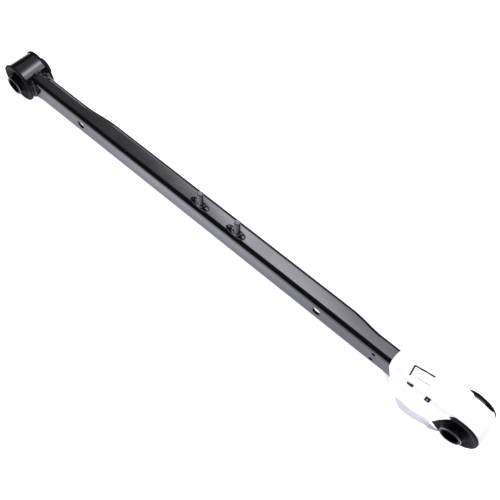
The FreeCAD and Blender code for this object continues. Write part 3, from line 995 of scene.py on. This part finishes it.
@dataclass(frozen=True)
class Glow:
    """One soft panel of light: where it hangs, how large it is, and how its light falls off.

    The stops run over the distance along slant, from the frame's origin to reach.
    """

    name: str
    centre: tuple[float, float, float]
    size: tuple[float, float]
    strength: float
    stops: tuple[tuple[float, float], ...]
    slant: tuple[float, float] = (0.31, 0.95)
    reach: float = 1.2
    colour: str = "f6f4ff"


@dataclass
class Studio:
    """Pale floor, soft light from above and behind, and the photograph's camera."""

    floor_z: float
    place: tuple[float, float, float] = (0.456806, -0.209553, 0.463769)
    azimuth: float = 35.51
    elevation: float = 61.06
    roll: float = 6.27
    focal_pixels: float = 586.04
    picture_pixels: float = 500.0
    sensor_mm: float = 36.0
    panels: tuple[Glow, ...] = (
        Glow("main_panel", (0.0, 0.80, 1.50), (3.6, 1.5), 9.8,
             ((0.0, 0.026), (0.167, 0.042), (0.25, 0.042), (0.29, 0.044), (0.328, 0.06),
              (0.363, 0.088), (0.396, 0.14), (0.431, 0.28), (0.464, 0.54), (0.492, 0.84),
              (0.536, 0.77), (0.569, 0.74), (0.603, 0.56), (0.636, 0.37), (0.669, 0.27),
              (0.75, 0.27), (1.0, 0.3))),
    )
    floor_colour: str = "f2f2f5"
    floor_light: str = "f0f1ff"
    floor_half: float = 12.0
    floor_glow: float = 1.15
    # Painted floor light: extra glow on the near side, along the middle of the arm, leaving a
    # dimmer strip beside the arm as painted shadow.
    near_side_painted_light: float = 0.72
    lift_y: tuple[float, float] = (-0.010, -0.021)
    lift_left: tuple[float, float] = (0.06, 0.2)
    lift_right: tuple[float, float] = (0.42, 0.28)
    world_colour: str = "e8e8f2"
    world_strength: float = 0.05

    def ease(self, tree: bpy.types.NodeTree, value: bpy.types.NodeSocket,
             ends: tuple[float, float], top: float = 1.0) -> bpy.types.NodeSocket:
        """Rise softly from 0 at the first end to top at the second.

        Args:
            tree: the material's tree.
            value: the socket that drives it.
            ends: where it starts and where it is full.
            top: the full value.

        Returns:
            The socket with the result.
        """
        eased = add_node(tree, "ShaderNodeMapRange", {"interpolation_type": "SMOOTHSTEP"},
                         {"Value": value, "From Min": ends[0], "From Max": ends[1],
                          "To Min": 0.0, "To Max": top})
        return eased.outputs["Result"]

    def camera(self) -> None:
        """Stand the camera where the photograph was taken from."""
        azimuth = math.radians(self.azimuth)
        elevation = math.radians(self.elevation)
        roll = math.radians(self.roll)
        back = Vector((math.sin(azimuth) * math.cos(elevation),
                       -math.cos(azimuth) * math.cos(elevation), math.sin(elevation)))
        level = Vector((0, 0, 1)).cross(back).normalized()
        up = back.cross(level)
        right = level * math.cos(roll) + up * math.sin(roll)
        head = up * math.cos(roll) - level * math.sin(roll)
        data = bpy.data.cameras.new("camera")
        data.sensor_width = self.sensor_mm
        data.lens = self.sensor_mm * self.focal_pixels / self.picture_pixels
        data.clip_start = 0.01
        camera = bpy.data.objects.new("camera", data)
        turn = Matrix((right, head, back)).transposed().to_4x4()
        camera.matrix_world = Matrix.Translation(Vector(self.place)) @ turn
        bpy.context.scene.collection.objects.link(camera)
        bpy.context.scene.camera = camera

    def floor(self) -> None:
        """Lay a large pale glowing floor just under the bush lips, with painted light: a brighter
        glow on the near side along the middle of the arm, and a dimmer strip right beside the arm
        as painted shadow.
        """
        material, tree, shader = new_material("pale_floor")
        place = add_node(tree, "ShaderNodeTexCoord").outputs["Object"]
        parts = add_node(tree, "ShaderNodeSeparateXYZ", None, {"Vector": place})
        # Painted light and shadow on the floor: more glow from lift_y outwards on the near side,
        # between lift_left and lift_right along the arm.
        away = self.ease(tree, parts.outputs["Y"], self.lift_y, self.near_side_painted_light)
        middle = self.ease(tree, parts.outputs["X"], self.lift_left)
        end = self.ease(tree, parts.outputs["X"], self.lift_right)
        lift = add_node(tree, "ShaderNodeMath", {"operation": "MULTIPLY"}, {0: middle, 1: end})
        power = add_node(tree, "ShaderNodeMath", {"operation": "MULTIPLY_ADD"},
                         {0: lift.outputs["Value"], 1: away, 2: self.floor_glow})
        shader.inputs["Base Color"].default_value = linear(self.floor_colour)
        shader.inputs["Emission Color"].default_value = linear(self.floor_light)
        tree.links.new(power.outputs["Value"], shader.inputs["Emission Strength"])
        shader.inputs["Roughness"].default_value = 0.9
        shader.inputs["Specular IOR Level"].default_value = 0.1
        mesh = bpy.data.meshes.new("floor")
        side = self.floor_half
        corners = [(-side, -side, self.floor_z), (side, -side, self.floor_z),
                   (side, side, self.floor_z), (-side, side, self.floor_z)]
        mesh.from_pydata(corners, [], [(0, 1, 2, 3)])
        mesh.materials.append(material)
        floor = bpy.data.objects.new("floor", mesh)
        bpy.context.scene.collection.objects.link(floor)
        floor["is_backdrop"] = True

    def panel(self, glow: Glow) -> None:
        """Hang one panel whose light falls off along its slant as its stops say.

        Args:
            glow: the panel.
        """
        material = bpy.data.materials.new(glow.name)
        material.use_nodes = True
        tree = material.node_tree
        tree.nodes.clear()
        place = add_node(tree, "ShaderNodeTexCoord").outputs["Object"]
        along = add_node(tree, "ShaderNodeVectorMath", {"operation": "DOT_PRODUCT"},
                         {0: place, 1: (*glow.slant, 0.0)}).outputs["Value"]
        start = -(glow.slant[0] * glow.centre[0] + glow.slant[1] * glow.centre[1])
        share = add_node(tree, "ShaderNodeMapRange", None,
                         {"Value": along, "From Min": start, "From Max": start + glow.reach})
        ramp = add_node(tree, "ShaderNodeValToRGB", None, {"Fac": share.outputs["Result"]})
        set_ramp(ramp, list(glow.stops))
        power = add_node(tree, "ShaderNodeMath", {"operation": "MULTIPLY"},
                         {0: ramp.outputs["Color"], 1: glow.strength})
        light = add_node(tree, "ShaderNodeEmission", None,
                         {"Color": linear(glow.colour), "Strength": power.outputs["Value"]})
        add_node(tree, "ShaderNodeOutputMaterial", None, {"Surface": light.outputs["Emission"]})
        mesh = bpy.data.meshes.new(glow.name)
        half_x = glow.size[0] / 2
        half_y = glow.size[1] / 2
        corners = [(-half_x, -half_y, 0), (-half_x, half_y, 0), (half_x, half_y, 0),
                   (half_x, -half_y, 0)]
        mesh.from_pydata(corners, [], [(0, 1, 2, 3)])
        mesh.materials.append(material)
        panel = bpy.data.objects.new(glow.name, mesh)
        panel.location = glow.centre
        panel.visible_camera = False
        bpy.context.scene.collection.objects.link(panel)
        panel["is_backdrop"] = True

    def build(self) -> None:
        """Set up floor, light and camera."""
        self.floor()
        for glow in self.panels:
            self.panel(glow)
        world = bpy.data.worlds.new("studio")
        world.use_nodes = True
        background = world.node_tree.nodes["Background"]
        background.inputs["Color"].default_value = linear(self.world_colour)
        background.inputs["Strength"].default_value = self.world_strength
        bpy.context.scene.world = world
        bpy.context.scene.view_settings.view_transform = "Standard"
        self.camera()
        LOG.info("studio ready")


LABEL_MARKS = (
    PrintedMark(u=18.6, v=-2.2, length=1.5, width=10.4, turn=6.0),
    PrintedMark(u=26.8, v=3.4, length=17.4, width=1.5, turn=6.0),
    PrintedMark(u=30.4, v=-4.9, length=11.4, width=0.9, ink=0.55, turn=4.0),
    PrintedMark(u=23.6, v=-13.6, length=5.6, width=3.1, turn=6.0),
    PrintedMark(u=40.4, v=-15.4, length=4.5, width=4.7, hole=0.4),
)


def main() -> None:
    """Build and dress the arm, then the studio round it."""
    logging.basicConfig(level=logging.INFO, format="%(name)s: %(message)s")
    cad_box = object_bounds()
    paint = DippedPaint().build()
    weld = PaintedWeld().build()
    thread = WornThread().build()
    PressedArm(paint, weld).dress()
    for side in Side:
        BushedEye(side, paint).dress()
        BracketStud(side, thread, paint).build()
    WrapLabel(LabelStock(marks=LABEL_MARKS).build()).build()
    Studio(floor_z=cad_box[0].z).build()


if __name__ == "__main__":
    main()
